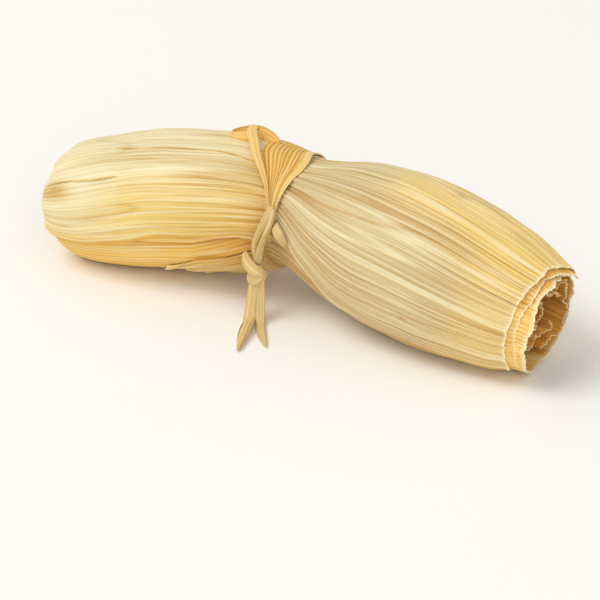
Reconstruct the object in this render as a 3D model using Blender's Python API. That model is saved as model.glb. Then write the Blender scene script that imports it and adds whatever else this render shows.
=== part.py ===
"""One corn-husk tamale, tied at its waist: a filled bundle, the separate husk leaves round it and the husk tie.

The bundle lies on its belly. Its line bends at the waist, so both halves come a little towards -Y (the front).
A place on it is given by s, the distance along that line from the waist (negative to the folded end, positive
to the open end), by theta, the angle round it in degrees (0 top, 90 front, 180 belly, 270 back), and by a
height in layers of husk above the filled bundle.
"""

import math
from dataclasses import dataclass

import bmesh
import bpy
from mathutils import Matrix, Vector

MM = 0.001

# Driving dimensions, in millimetres and degrees.
BEND_DEG = 19.0            # turn of the line at the waist, seen from above
ARCH_DEG = 15.0            # turn of the line at the waist, seen from the front
HEADING_DEG = 1.2          # line's mean heading, so that its ends lie along X
TILT_DEG = 1.02            # line's mean slope, so that both halves touch the ground
BEND_REACH = 20.0          # distance over which the line turns
LEAF = 0.6                 # husk thickness
GAP = 0.4                  # clear space between husks
PITCH = LEAF + GAP
ROUND_POWER = 2.2          # section outline: 2 is an ellipse, more is squarer
FLAT_DEPTH = 1.6           # how far the belly is pressed flat on the ground
SNAP = 0.35                # belly points lower than this lie on the ground
WAIST_GAP = 0.5            # husks of the two halves stop this far from the waist line
TIE_CLEAR = 4.0            # husks outside the tie start this far from the waist line
TOP_START = 13.0           # the left top husk starts here, beside the tie
OPEN_FLOOR_S = 85.0        # the filled bundle ends here, inside the open husk ends
OPEN_FLOOR_ROUND = 11.0    # length of its rounded end
CROWD = 1.5                # how much the left husks' cross lines crowd towards the rounded end
WAIST_RING = 0.032         # moves the bundle's middle ring of points to its waist, as a share of its length
BUNDLE_INSET = 0.35         # clear space added between it and its first husks

# Half width and half height of the filled bundle along its line: (s, half width, half height).
SECTIONS = (
    (-93.0, 0.0, 0.0),
    (-92.0, 8.0, 7.5),
    (-89.0, 14.5, 13.5),
    (-82.0, 20.2, 18.2),
    (-67.0, 23.8, 20.9),
    (-46.0, 25.0, 22.0),
    (-23.0, 24.0, 21.2),
    (-8.0, 21.4, 19.2),
    (0.0, 20.0, 17.8),
    (8.0, 21.0, 18.4),
    (22.0, 24.4, 21.3),
    (44.0, 27.0, 24.0),
    (67.0, 26.2, 23.4),
    (88.0, 22.4, 20.6),
    (108.0, 18.4, 17.4),
)
COLOURS = {
    "filling": (0.71, 0.53, 0.25),
    "pale": (0.74, 0.61, 0.35),
    "straw": (0.72, 0.53, 0.22),
    "amber": (0.74, 0.47, 0.13),
}


def ease(x):
    """Smooth step from 0 to 1."""
    x = min(1.0, max(0.0, x))
    return x * x * (3.0 - 2.0 * x)


def lerp(a, b, t):
    return a + (b - a) * t


def curve_through(points, s):
    """Smooth interpolation of the rows of points, whose first value is s."""
    s = min(points[-1][0], max(points[0][0], s))
    last = len(points) - 2
    i = next((k for k in range(last + 1) if s <= points[k + 1][0]), last)
    before, start, end, after = points[max(i - 1, 0)], points[i], points[i + 1], points[min(i + 2, last + 1)]
    span = end[0] - start[0]
    t = (s - start[0]) / span
    values = []
    for c in range(1, len(start)):
        slope_in = (end[c] - before[c]) / (end[0] - before[0]) * span
        slope_out = (after[c] - start[c]) / (after[0] - start[0]) * span
        values.append(
            (2 * t**3 - 3 * t**2 + 1) * start[c]
            + (t**3 - 2 * t**2 + t) * slope_in
            + (3 * t**2 - 2 * t**3) * end[c]
            + (t**3 - t**2) * slope_out
        )
    return values


class Line:
    """The bundle's middle line, and places round it."""

    STEP = 0.5

    def __init__(self):
        self.first = SECTIONS[0][0] - 10.0
        count = int((SECTIONS[-1][0] + 10.0 - self.first) / self.STEP)
        self.points = [Vector((0.0, 0.0, 0.0))]
        for i in range(count):
            s = self.first + (i + 0.5) * self.STEP
            self.points.append(self.points[-1] + self.direction(s) * self.STEP)
        waist = self.at(0.0)
        self.points = [p - waist for p in self.points]
        lowest = min(self.at(s).z - curve_through(SECTIONS, s)[1] for s in range(-75, 90, 5))
        self.rise = -lowest + 2 * PITCH - FLAT_DEPTH
        self.points = [p + Vector((0.0, 0.0, self.rise)) for p in self.points]

    def direction(self, s):
        """Unit vector along the line at s."""
        turn = math.tanh(s / BEND_REACH) / 2
        heading = math.radians(HEADING_DEG - BEND_DEG * turn)
        slope = math.radians(TILT_DEG - ARCH_DEG * turn)
        return Vector(
            (math.cos(heading) * math.cos(slope), math.sin(heading) * math.cos(slope), math.sin(slope))
        )

    def at(self, s):
        """Point on the line at s."""
        place = (s - self.first) / self.STEP
        i = min(len(self.points) - 2, max(0, int(place)))
        return self.points[i].lerp(self.points[i + 1], place - i)

    def spoke(self, s, theta):
        """Unit vector from the line outwards at angle theta."""
        along = self.direction(s)
        front = along.cross(Vector((0.0, 0.0, 1.0))).normalized()
        up = front.cross(along)
        a = math.radians(theta)
        return up * math.cos(a) + front * math.sin(a)

    def reach(self, s, theta, scale=1.0):
        """Distance from the line to the filled bundle's skin, pressed flat on the ground."""
        width, height = (max(v, 0.01) * scale for v in curve_through(SECTIONS, s))
        a = math.radians(theta)
        round_reach = (
            abs(math.sin(a) / width) ** ROUND_POWER + abs(math.cos(a) / height) ** ROUND_POWER
        ) ** (-1 / ROUND_POWER)
        drop = -self.spoke(s, theta).z
        if drop <= 0.05:
            return round_reach
        to_ground = (self.at(s).z - 2 * PITCH) / drop
        soft = 0.6
        low = min(round_reach, to_ground)
        near = max(soft - abs(round_reach - to_ground), 0.0) / soft
        return low - near * near * soft / 4

    def skin(self, s, theta, height, scale=1.0):
        """Point at a height in millimetres above the filled bundle's skin, square to its profile."""
        step = 0.5
        before, after = self.reach(s - step, theta, scale), self.reach(s + step, theta, scale)
        slope = math.atan2(after - before, 2 * step)
        out = self.reach(s, theta, scale) + height * math.cos(slope)
        along = -height * math.sin(slope)
        place = self.at(s) + self.direction(s) * along + self.spoke(s, theta) * out
        if place.z < SNAP:
            place.z = 0.0
        return place


LINE = Line()


def material(name, colour, roughness=0.6):
    """A plain husk material."""
    made = bpy.data.materials.get(name) or bpy.data.materials.new(name)
    made.use_nodes = True
    shader = made.node_tree.nodes["Principled BSDF"]
    shader.inputs["Base Color"].default_value = (*COLOURS[colour], 1.0)
    shader.inputs["Roughness"].default_value = roughness
    shader.inputs["Metallic"].default_value = 0.0
    return made


def add_object(name, mesh_builder, colour):
    """Makes a named, smooth-shaded object from a bmesh in millimetres."""
    bmesh.ops.scale(mesh_builder, vec=(MM, MM, MM), verts=mesh_builder.verts)
    bmesh.ops.recalc_face_normals(mesh_builder, faces=mesh_builder.faces)
    mesh = bpy.data.meshes.new(name)
    mesh_builder.to_mesh(mesh)
    mesh_builder.free()
    mesh.materials.append(material("husk_" + colour, colour))
    mesh.shade_smooth()
    mesh.set_sharp_from_angle(angle=math.radians(40))
    made = bpy.data.objects.new(name, mesh)
    bpy.context.scene.collection.objects.link(made)
    return made


def slab(columns, rows, place):
    """A closed bmesh slab. place(u, v, side) gives each point, with u and v from 0 to 1 and side 0 or 1."""
    made = bmesh.new()
    bmesh.ops.create_grid(made, x_segments=columns, y_segments=rows, size=0.5)
    lower = list(made.verts)
    raised = bmesh.ops.extrude_face_region(made, geom=list(made.faces), use_keep_orig=True)
    upper = [g for g in raised["geom"] if isinstance(g, bmesh.types.BMVert)]
    for side, verts in ((0, lower), (1, upper)):
        for vert in verts:
            vert.co = place(vert.co.x + 0.5, vert.co.y + 0.5, side)
    return made


@dataclass(frozen=True)
class Leaf:
    """One husk leaf of the wrap. Angles are (from, to) at the waist and at the bulge."""

    name: str
    half: int              # -1 folded half, 1 open half
    layer: float
    waist: tuple
    bulge: tuple
    start: float           # distance from the waist line
    reach: tuple           # distance of the leaf's far edge, at its first and at its last angle
    colour: str
    fan: float = 0.35      # share of the length over which the leaf opens from waist to bulge
    columns: int = 12
    rows: int = 10
    flare: float = 0.0     # how far its far lower corner stands off

    def place(self, u, v, side):
        u = 1.0 - ((1.0 + math.cos(math.pi * u)) / 2) ** (CROWD if self.half < 0 else 1.0)
        far = lerp(self.reach[0], self.reach[1], v)
        s = self.half * lerp(self.start, far, u)
        opened = ease(u / self.fan)
        theta = lerp(lerp(*self.waist, v), lerp(*self.bulge, v), opened)
        height = (self.layer - 1) * PITCH + GAP + side * LEAF + self.flare * u * v
        return LINE.skin(s, theta, height)

    def build(self):
        return add_object(self.name, slab(self.columns, self.rows, self.place), self.colour)


@dataclass(frozen=True)
class Roll:
    """A husk leaf rolled up inside the open end, smaller than the wrap."""

    name: str
    scale: float
    span: tuple
    start: float
    end: float
    colour: str

    def place(self, u, v, side):
        s = lerp(self.start, self.end, u)
        theta = lerp(*self.span, v)
        spiral = lerp(1.0, 0.88, v)
        return LINE.skin(s, theta, side * LEAF, self.scale * spiral)

    def build(self):
        return add_object(self.name, slab(2, 18, self.place), self.colour)


LEAVES = (
    Leaf("left_back_husk", -1, 1, (150, 318), (140, 322), WAIST_GAP, (86, 86), "straw", rows=12),
    Leaf("left_lower_husk", -1, 2, (104, 226), (98, 236), WAIST_GAP, (85, 85), "amber"),
    Leaf("left_front_husk", -1, 3, (-74, 104), (-72, 112), WAIST_GAP, (90, 90), "straw", columns=13, rows=12),
    Leaf("left_fold_husk", -1, 4, (-68, 40), (-68, 58), 54.0, (92.4, 92.4), "straw", 1.0, columns=10),
    Leaf("left_top_husk", -1, 5, (-44, 14), (-60, 16), TOP_START, (70, 64), "pale", columns=11, rows=7),
    Leaf("left_loose_husk", -1, 4, (116, 146), (112, 150), TIE_CLEAR, (42, 34), "straw", 0.35, 8, 5, 3.0),
    Leaf("right_inner_husk", 1, 1, (-150, 172), (-150, 186), WAIST_GAP, (107, 100), "straw", rows=22),
    Leaf("right_under_husk", 1, 2, (68, 208), (84, 216), WAIST_GAP, (95, 95), "amber", columns=15, rows=11),
    Leaf("right_back_husk", 1, 2, (222, 318), (222, 322), WAIST_GAP, (95, 101), "straw"),
    Leaf("right_front_husk", 1, 3.4, (-58, 62), (-64, 136), WAIST_GAP, (106, 95), "pale", 0.5, 16, 14, 0.8),
    Leaf("right_top_husk", 1, 4.6, (-48, 18), (-56, 46), WAIST_GAP, (103, 97), "straw", 0.6),
)
ROLLS = (
    Roll("rolled_husk_outer", 0.96, (-170, 110), 81.0, 103.0, "straw"),
    Roll("rolled_husk_middle", 0.74, (-60, 240), 84.0, 101.0, "amber"),
    Roll("rolled_husk_inner", 0.48, (40, 330), 85.5, 99.0, "amber"),
)


def build_filled_bundle():
    """The filled dough in its innermost husks, one solid: a ball drawn out along the line."""
    made = bmesh.new()
    bmesh.ops.create_uvsphere(made, u_segments=24, v_segments=18, radius=1.0)
    first = SECTIONS[0][0]
    for vert in made.verts:
        share = (1.0 + vert.co.z) / 2
        share += WAIST_RING * math.sin(math.pi * share)
        s = lerp(first, OPEN_FLOOR_S, share)
        theta = math.degrees(math.atan2(vert.co.y, vert.co.x))
        into_end = max(0.0, (s - OPEN_FLOOR_S + OPEN_FLOOR_ROUND) / OPEN_FLOOR_ROUND)
        scale = math.sqrt(max(1.0 - into_end**2, 0.0))
        reach = LINE.reach(s, theta) - BUNDLE_INSET if 0 < share < 1 else 0.0
        vert.co = LINE.at(s) + LINE.spoke(s, theta) * reach * scale
    return add_object("filled_bundle", made, "filling")


# The tie: a strip of husk round the waist, spread over the top, looped there, and knotted at the front.
TIE_HEIGHT = 4.6 * PITCH + GAP
TIE_THICK = 1.6
TIE_HALF_WIDTH = 2.2
FAN_SHIFT = (-7.5, 6.0)    # how far the band's two edges move along the line where it spreads
SWAY = 4.5                 # how far the band leans towards the open end at its narrow front
SWAY_DEG = (64.0, 24.0)    # middle and spread of that lean
FAN_FULL_DEG = (-66.0, -10.0)
FAN_FADE_DEG = (60.0, 68.0)
KNOT_DEG = 106.0
KNOT_RADII = (4.2, 4.2, 5.2)
KNOT_STAND = 2.8           # the knot's middle stands this far above the tie's inner face
LOOP_DEG = -16.0
LOOP_S = -12.0
LOOP_RADII = (8.5, 3.4)    # half length and half height of the loop
LOOP_WIDTH = 7.0
LOOP_THICK = 1.2
LOOP_SINK = 0.8            # how deep the loop's underside sits in the band
STRIP_PATH = ((-10.0, -12.0, 1.0), (-6.6, 14.0, 1.3), (-1.6, 40.0, 1.5), (4.4, 66.0, 1.0))
STRIP_HALF_WIDTH = 1.6
TUCK_PATH = ((4.5, 70.0, 0.6), (9.0, 76.0, 1.6), (13.0, 82.0, 1.4))
TUCK_HALF_WIDTH = 1.5
TAIL_THICK = 1.4
TAIL_LIFT = 0.2            # clear space under the part of a tail that lies along the ground
TAIL_ROUTES = (
    # (half width, points from the knot to the tip: forward, towards the open end, drop)
    (2.3, ((0.0, -0.6, 0.0), (4.0, -1.4, -9.0), (10.0, -3.2, -20.0), (20.0, -6.5, -40.0), (31.0, -11.0, -40.0))),
    (1.3, ((0.0, 2.4, 0.0), (4.5, 3.2, -9.0), (10.5, 3.2, -20.0), (18.5, 2.0, -40.0), (26.0, -1.0, -40.0))),
)


def fan_share(theta):
    """1 where the tie is spread over the top, 0 away from it."""
    low, high = FAN_FULL_DEG
    theta = (theta + 180.0) % 360.0 - 180.0
    if theta < low:
        return 1.0 - ease((low - theta) / FAN_FADE_DEG[0])
    return 1.0 - ease((theta - high) / FAN_FADE_DEG[1])


def lean(theta):
    """How far the tie's line leans towards the open end."""
    middle, spread = SWAY_DEG
    return SWAY * math.exp(-(((theta + 180.0) % 360.0 - 180.0 - middle) / spread) ** 2)


def build_band():
    """The closed band round the waist, wide where it spreads over the top."""
    made = bmesh.new()
    bmesh.ops.create_circle(made, cap_ends=False, segments=4, radius=1.0)
    corners = sorted(made.verts, key=lambda v: math.atan2(v.co.y, v.co.x))
    across = {v: ((0, 0), (1, 0), (1, 1), (0, 1))[i] for i, v in enumerate(corners)}
    segments = 40

    def place(corner, theta):
        spread = fan_share(theta)
        left = FAN_SHIFT[0] * spread - TIE_HALF_WIDTH
        right = FAN_SHIFT[1] * spread + TIE_HALF_WIDTH
        s = lerp(left, right, corner[0]) + lean(theta)
        return LINE.skin(s, theta, TIE_HEIGHT + corner[1] * TIE_THICK)

    ring = list(made.edges)
    first = dict(across)
    for step in range(1, segments):
        grown = bmesh.ops.extrude_edge_only(made, edges=ring)["geom"]
        new_verts = [g for g in grown if isinstance(g, bmesh.types.BMVert)]
        ring = [g for g in grown if isinstance(g, bmesh.types.BMEdge)]
        ring = [e for e in ring if e.verts[0] in new_verts and e.verts[1] in new_verts]
        turned = {}
        for vert in new_verts:
            source = next(e.other_vert(vert) for e in vert.link_edges if e.other_vert(vert) in across)
            turned[vert] = across[source]
        across = turned
        for vert, corner in across.items():
            vert.co = place(corner, 360.0 * step / segments)
    for vert, corner in first.items():
        vert.co = place(corner, 0.0)
    start_ring = [e for e in made.edges if e.verts[0] in first and e.verts[1] in first]
    bmesh.ops.bridge_loops(made, edges=ring + start_ring)
    return made


def ribbon(points, half_width, thick, side_vector, columns):
    """A flat strip along a smooth curve through points, with side_vector across it."""
    rows = [(float(i), *p) for i, p in enumerate(points)]
    last = len(points) - 1

    def centre(u):
        return Vector(curve_through(rows, u * last))

    def place(u, v, side):
        here = centre(u)
        along = (centre(min(1.0, u + 0.02)) - centre(max(0.0, u - 0.02))).normalized()
        across = (side_vector - along * side_vector.dot(along)).normalized()
        normal = along.cross(across)
        offset = normal * ((side - 0.5) * thick)
        point = here + across * ((v - 0.5) * 2 * half_width) + offset
        point.z = max(point.z, 0.0)
        return point

    return slab(columns, 2, place)


def surface_strip(path, half_width):
    """A flat strip lying along places (s, angle, height above the tie's inner face) of the wrap."""
    rows = [(float(i), *p) for i, p in enumerate(path)]
    last = len(path) - 1

    def place(u, v, side):
        s, theta, height = curve_through(rows, u * last)
        s_next, theta_next, _ = curve_through(rows, min(u + 0.05, 1.0) * last)
        s_back, theta_back, _ = curve_through(rows, max(u - 0.05, 0.0) * last)
        girth = math.radians(1.0) * LINE.reach(s, theta)
        run = Vector((s_next - s_back, (theta_next - theta_back) * girth)).normalized()
        across = (v - 0.5) * 2 * half_width
        return LINE.skin(
            s - run.y * across, theta + run.x * across / girth, TIE_HEIGHT + height + side * TIE_THICK
        )

    return slab(10, 2, place)


def knot_centre():
    """Middle of the knot, on the front of the tie."""
    return LINE.skin(0.0, KNOT_DEG, TIE_HEIGHT + KNOT_STAND)


def build_knot():
    made = bmesh.new()
    bmesh.ops.create_icosphere(made, subdivisions=2, radius=1.0)
    bmesh.ops.scale(made, vec=KNOT_RADII, verts=made.verts)
    bmesh.ops.translate(made, vec=knot_centre(), verts=made.verts)
    return made


def build_tail(half_width, route):
    """A loose end of the strip, from inside the knot down to the ground and forward along it."""
    knot = knot_centre()
    out = LINE.spoke(0.0, 90.0)
    sideways = LINE.direction(0.0)
    ground = TAIL_THICK / 2 + TAIL_LIFT
    points = []
    for forward, side, fall in route:
        point = knot + out * forward + sideways * side
        point.z = max(knot.z + fall, ground)
        points.append(point)
    return ribbon(points, half_width, TAIL_THICK, sideways, 14)


def build_loop():
    """The loop of the strip that stands on top of the tie, a closed flat ring on its side."""
    base = LINE.skin(LOOP_S, LOOP_DEG, TIE_HEIGHT + TIE_THICK)
    up = LINE.spoke(LOOP_S, LOOP_DEG)
    along = LINE.direction(LOOP_S)
    across = up.cross(along)
    squeeze = LOOP_RADII[1] / LOOP_RADII[0]
    middle = base + up * (LOOP_RADII[1] + LOOP_THICK * squeeze - LOOP_SINK)
    made = bmesh.new()
    bmesh.ops.create_circle(made, cap_ends=False, segments=4, radius=1.0)
    corners = ((0, 0), (1, 0), (1, 1), (0, 1))
    order = sorted(made.verts, key=lambda v: math.atan2(v.co.y, v.co.x))
    for vert, (wide, outer) in zip(order, corners):
        vert.co = Vector((LOOP_RADII[0] + outer * LOOP_THICK, (wide - 0.5) * LOOP_WIDTH, 0.0))
    bmesh.ops.spin(
        made,
        geom=list(made.edges),
        axis=(0, 1, 0),
        cent=(0, 0, 0),
        angle=math.tau,
        steps=22,
        use_merge=True,
    )
    for vert in made.verts:
        x, y, z = vert.co
        vert.co = middle + along * x + across * y + up * (z * squeeze)
    return made


def build_tie():
    """Band, loop, strip ends, knot and two loose tails, united into one solid."""
    pieces = [build_loop(), build_knot()]
    pieces.append(surface_strip(STRIP_PATH, STRIP_HALF_WIDTH))
    pieces.append(surface_strip(TUCK_PATH, TUCK_HALF_WIDTH))
    pieces += [build_tail(half_width, route) for half_width, route in TAIL_ROUTES]
    tie = add_object("husk_tie", build_band(), "amber")
    for i, piece in enumerate(pieces):
        helper = add_object(f"tie_piece_{i}", piece, "amber")
        helper.hide_render = True
        helper.display_type = "WIRE"
        union = tie.modifiers.new(f"join_{i}", "BOOLEAN")
        union.operation = "UNION"
        union.solver = "EXACT"
        union.object = helper
    return tie


def centre_on_ground(objects):
    """Moves the model so that the middle of its box's underside is the origin."""
    graph = bpy.context.evaluated_depsgraph_get()
    corners = []
    for made in objects:
        corners += [Vector(c) for c in made.evaluated_get(graph).bound_box]
    low = Vector(min(c[i] for c in corners) for i in range(3))
    high = Vector(max(c[i] for c in corners) for i in range(3))
    shift = Vector((-(low.x + high.x) / 2, -(low.y + high.y) / 2, -low.z))
    for made in bpy.data.objects:
        made.data.transform(Matrix.Translation(shift))


def main():
    for old in list(bpy.data.objects):
        bpy.data.objects.remove(old)
    made = [build_filled_bundle()]
    made += [leaf.build() for leaf in LEAVES]
    made += [roll.build() for roll in ROLLS]
    made.append(build_tie())
    centre_on_ground(made)


main()
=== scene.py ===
"""Looks for the tied corn-husk tamale: husk leaves, both ends, tie, floor, light and camera."""

from __future__ import annotations

import logging
import math
from collections.abc import Callable
from dataclasses import dataclass, field
from enum import Enum
from typing import Any

import bmesh
import bpy
import numpy as np
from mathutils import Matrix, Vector


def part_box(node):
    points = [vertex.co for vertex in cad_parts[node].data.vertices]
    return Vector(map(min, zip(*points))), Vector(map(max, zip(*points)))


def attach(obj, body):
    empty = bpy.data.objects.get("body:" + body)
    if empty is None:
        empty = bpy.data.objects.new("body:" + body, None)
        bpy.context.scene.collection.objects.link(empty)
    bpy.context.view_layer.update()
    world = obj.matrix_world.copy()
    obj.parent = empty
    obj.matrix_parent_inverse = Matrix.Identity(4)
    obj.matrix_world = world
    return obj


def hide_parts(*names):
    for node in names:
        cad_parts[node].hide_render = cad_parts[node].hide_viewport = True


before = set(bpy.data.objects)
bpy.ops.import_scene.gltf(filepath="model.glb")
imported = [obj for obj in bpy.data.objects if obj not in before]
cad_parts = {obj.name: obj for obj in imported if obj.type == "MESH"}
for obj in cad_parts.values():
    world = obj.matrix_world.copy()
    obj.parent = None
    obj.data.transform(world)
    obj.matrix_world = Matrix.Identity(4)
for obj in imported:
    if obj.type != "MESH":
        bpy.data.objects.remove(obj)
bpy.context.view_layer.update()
LOG = logging.getLogger("tamale")

MM = 0.001
UV_UNIT = 100.0            # millimetres of husk in one unit of its UV map
GROUND_GAP = 0.02          # millimetres that every husk keeps above the floor
OUTSIDE = 5.0              # millimetres from a sheet to the point that marks its outer side
EDGE_BAND = 0.05           # share of a leaf's width over which its side edges wave and curl
TUCK_BAND = 0.12           # share of a leaf's width over which its side edges tuck in
NEAR = 0.01                # share of a path from a place to the points that give its heading
# Factors painted into each husk's colour: shade in valleys, gathers, hollows and along side edges
# (painted shade); warmth, which also carries painted glow and painted shadow; and a painted
# highlight on cut edges.
FACTORS = ("valley", "warm", "rim")
Array = np.ndarray
Colour = tuple[float, float, float]
Sheet = dict[str, Array]


def ease(x: Array | float) -> Array:
    """Smooth step from 0 to 1."""
    x = np.clip(x, 0.0, 1.0)
    return x * x * (3.0 - 2.0 * x)


def lerp(a: Any, b: Any, t: Any) -> Any:
    """Straight blend from a to b."""
    return a + (b - a) * t


def bump(x: Array | float, middle: float, spread: float) -> Array:
    """Bell of height 1 round a middle."""
    return np.exp(-(((x - middle) / spread) ** 2))


def linear(red: int, green: int, blue: int) -> Colour:
    """Linear colour of a display colour in 0 to 255."""
    levels = (red, green, blue)
    return tuple(((c / 255 + 0.055) / 1.055) ** 2.4 if c > 10 else c / 3295 for c in levels)


def ridge(phase: Array, power: float) -> Array:
    """Round ridges, one for each unit of phase, from 0 in the valleys to 1 on the crests."""
    return np.abs(np.sin(np.pi * phase)) ** power


def above_ground(place: Array) -> Array:
    """Lifts the points that lie under the floor just above it, in millimetres."""
    place[..., 2] = np.maximum(place[..., 2], GROUND_GAP)
    return place


class Ripple:
    """Smooth repeatable noise in two directions, from -1 to 1, one bump for each unit."""

    SIZE = 64

    def __init__(self, seed: int) -> None:
        """Makes the lattice.

        Args:
            seed: which noise this is.
        """
        self.lattice = np.random.default_rng(seed).uniform(-1.0, 1.0, (self.SIZE, self.SIZE))

    def __call__(self, x: Array | float, y: Array | float = 0.0) -> Array:
        """Noise at a place.

        Args:
            x: first coordinate.
            y: second coordinate.

        Returns:
            The noise, shaped like x and y together.
        """
        x, y = np.broadcast_arrays(np.asarray(x, float), np.asarray(y, float))
        column, row = np.floor(x).astype(int), np.floor(y).astype(int)
        across, down = ease(x - column), ease(y - row)
        a, b = column % self.SIZE, (column + 1) % self.SIZE
        c, d = row % self.SIZE, (row + 1) % self.SIZE
        top = lerp(self.lattice[a, c], self.lattice[b, c], across)
        low = lerp(self.lattice[a, d], self.lattice[b, d], across)
        return lerp(top, low, down) * 1.3


@dataclass
class Spine:
    """The bundle's middle line and its outline, in millimetres and degrees.

    A place is (s, theta, height): s along the line from the waist, negative to the folded end;
    theta round it, 0 on top, 90 at the front, 180 on the belly; height above the bundle's skin.
    """

    bend: float = 19.0
    arch: float = 15.0
    heading: float = 1.2
    tilt: float = 1.02
    bend_reach: float = 20.0
    step: float = 0.5
    round_power: float = 2.2
    flat_depth: float = 1.6
    flat_softness: float = 0.6
    least_drop: float = 0.05
    under_husk: float = 2.0
    belly_probe: tuple[float, float, float] = (-75.0, 90.0, 5.0)
    bundle_rings: int = 17
    bundle_turn: float = 15.0
    bundle_inset: float = 0.35
    waist_ring: float = 0.032
    open_floor: float = 85.0
    open_round: float = 11.0
    sections: tuple[tuple[float, float, float], ...] = (
        (-93.0, 0.0, 0.0),
        (-92.0, 8.0, 7.5),
        (-89.0, 14.5, 13.5),
        (-82.0, 20.2, 18.2),
        (-67.0, 23.8, 20.9),
        (-46.0, 25.0, 22.0),
        (-23.0, 24.0, 21.2),
        (-8.0, 21.4, 19.2),
        (0.0, 20.0, 17.8),
        (8.0, 21.0, 18.4),
        (22.0, 24.4, 21.3),
        (44.0, 27.0, 24.0),
        (67.0, 26.2, 23.4),
        (88.0, 22.4, 20.6),
        (108.0, 18.4, 17.4),
    )
    shift: Array = field(default_factory=lambda: np.zeros(3))

    def __post_init__(self) -> None:
        """Works out the line once, as tables along s, and sets it where the CAD bundle is."""
        first = self.sections[0][0] - 10.0
        count = int((self.sections[-1][0] + 10.0 - first) / self.step)
        self.table = first + np.arange(count + 1) * self.step
        steps = self.direction(self.table[:-1] + self.step / 2) * self.step
        self.points = np.vstack([np.zeros(3), np.cumsum(steps, axis=0)])
        self.widths, self.heights = self.outline(self.table)
        self.points = self.points - self.at(np.array([0.0]))[0]
        probe = np.arange(*self.belly_probe)
        lowest = np.min(self.at(probe)[:, 2] - self.outline(probe)[1])
        self.points[:, 2] += -lowest + self.under_husk - self.flat_depth
        self.settle()

    def direction(self, s: Array) -> Array:
        """Which way the line runs.

        Args:
            s: places along the line.

        Returns:
            Unit vectors, one for each place.
        """
        turn = np.tanh(s / self.bend_reach) / 2
        heading = np.radians(self.heading - self.bend * turn)
        slope = np.radians(self.tilt - self.arch * turn)
        level = np.cos(slope)
        return np.stack([np.cos(heading) * level, np.sin(heading) * level, np.sin(slope)], axis=-1)

    def outline(self, s: Array) -> tuple[Array, Array]:
        """Half width and half height of the filled bundle at s, smoothed through the sections.

        Args:
            s: places along the line.

        Returns:
            Half widths and half heights.
        """
        rows = np.array(self.sections)
        keys = rows[:, 0]
        s = np.clip(s, keys[0], keys[-1])
        last = len(keys) - 2
        i = np.clip(np.searchsorted(keys, s, side="left") - 1, 0, last)
        start, end = rows[i], rows[i + 1]
        before, after = rows[np.maximum(i - 1, 0)], rows[np.minimum(i + 2, last + 1)]
        span = end[:, 0] - start[:, 0]
        t = (s - start[:, 0]) / span
        values = []
        for c in (1, 2):
            slope_in = (end[:, c] - before[:, c]) / (end[:, 0] - before[:, 0]) * span
            slope_out = (after[:, c] - start[:, c]) / (after[:, 0] - start[:, 0]) * span
            values.append(
                (2 * t**3 - 3 * t**2 + 1) * start[:, c]
                + (t**3 - 2 * t**2 + t) * slope_in
                + (3 * t**2 - 2 * t**3) * end[:, c]
                + (t**3 - t**2) * slope_out
            )
        return np.maximum(values[0], 0.01), np.maximum(values[1], 0.01)

    def at(self, s: Array) -> Array:
        """Points on the line at s."""
        return np.stack([np.interp(s, self.table, self.points[:, c]) for c in range(3)], axis=-1)

    def spokes(self, s: Array, theta: Array) -> Array:
        """Which way is outwards from the line.

        Args:
            s: places along the line.
            theta: angles round it.

        Returns:
            Unit vectors square to the line.
        """
        along = self.direction(s)
        front = np.cross(along, np.array([0.0, 0.0, 1.0]))
        front /= np.linalg.norm(front, axis=-1, keepdims=True)
        up = np.cross(front, along)
        a = np.radians(theta)[..., None]
        return up * np.cos(a) + front * np.sin(a)

    def reach(self, s: Array, theta: Array, scale: float | Array = 1.0) -> Array:
        """Distance from the line to the filled bundle's skin, pressed flat on the ground.

        Args:
            s: places along the line.
            theta: angles round it.
            scale: shrinks the outline.

        Returns:
            Millimetres, with a soft change between the round and the flat part.
        """
        width, height = self.outline(s)
        a = np.radians(theta)
        power = self.round_power
        aside, upward = np.abs(np.sin(a) / (width * scale)), np.abs(np.cos(a) / (height * scale))
        ring = (aside**power + upward**power) ** (-1 / power)
        drop, least = -self.spokes(s, theta)[..., 2], self.least_drop
        ground = (self.at(s)[..., 2] - self.under_husk) / np.maximum(drop, least)
        to_ground = np.where(drop > least, ground, 1e6)
        soft = self.flat_softness
        near = np.maximum(soft - np.abs(ring - to_ground), 0.0) / soft
        return np.minimum(ring, to_ground) - near * near * soft / 4

    def skin(
        self, s: Array, theta: Array, height: Array | float, scale: float | Array = 1.0
    ) -> Array:
        """Places round the bundle, in millimetres of the CAD frame.

        Args:
            s: distance along the line from the waist.
            theta: angle round the line.
            height: height above the filled bundle's skin, square to its profile.
            scale: shrinks the outline, for husks rolled up inside it.

        Returns:
            One point in each row.
        """
        given = (np.atleast_1d(np.asarray(v, float)) for v in (s, theta, height))
        s, theta, height = np.broadcast_arrays(*given)
        step = self.step
        before, after = self.reach(s - step, theta, scale), self.reach(s + step, theta, scale)
        slope = np.arctan2(after - before, 2 * step)
        out = self.reach(s, theta, scale) + height * np.cos(slope)
        along = -height * np.sin(slope)
        place = self.at(s) + self.direction(s) * along[..., None]
        place = place + self.spokes(s, theta) * out[..., None] + self.shift
        return above_ground(place)

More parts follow.
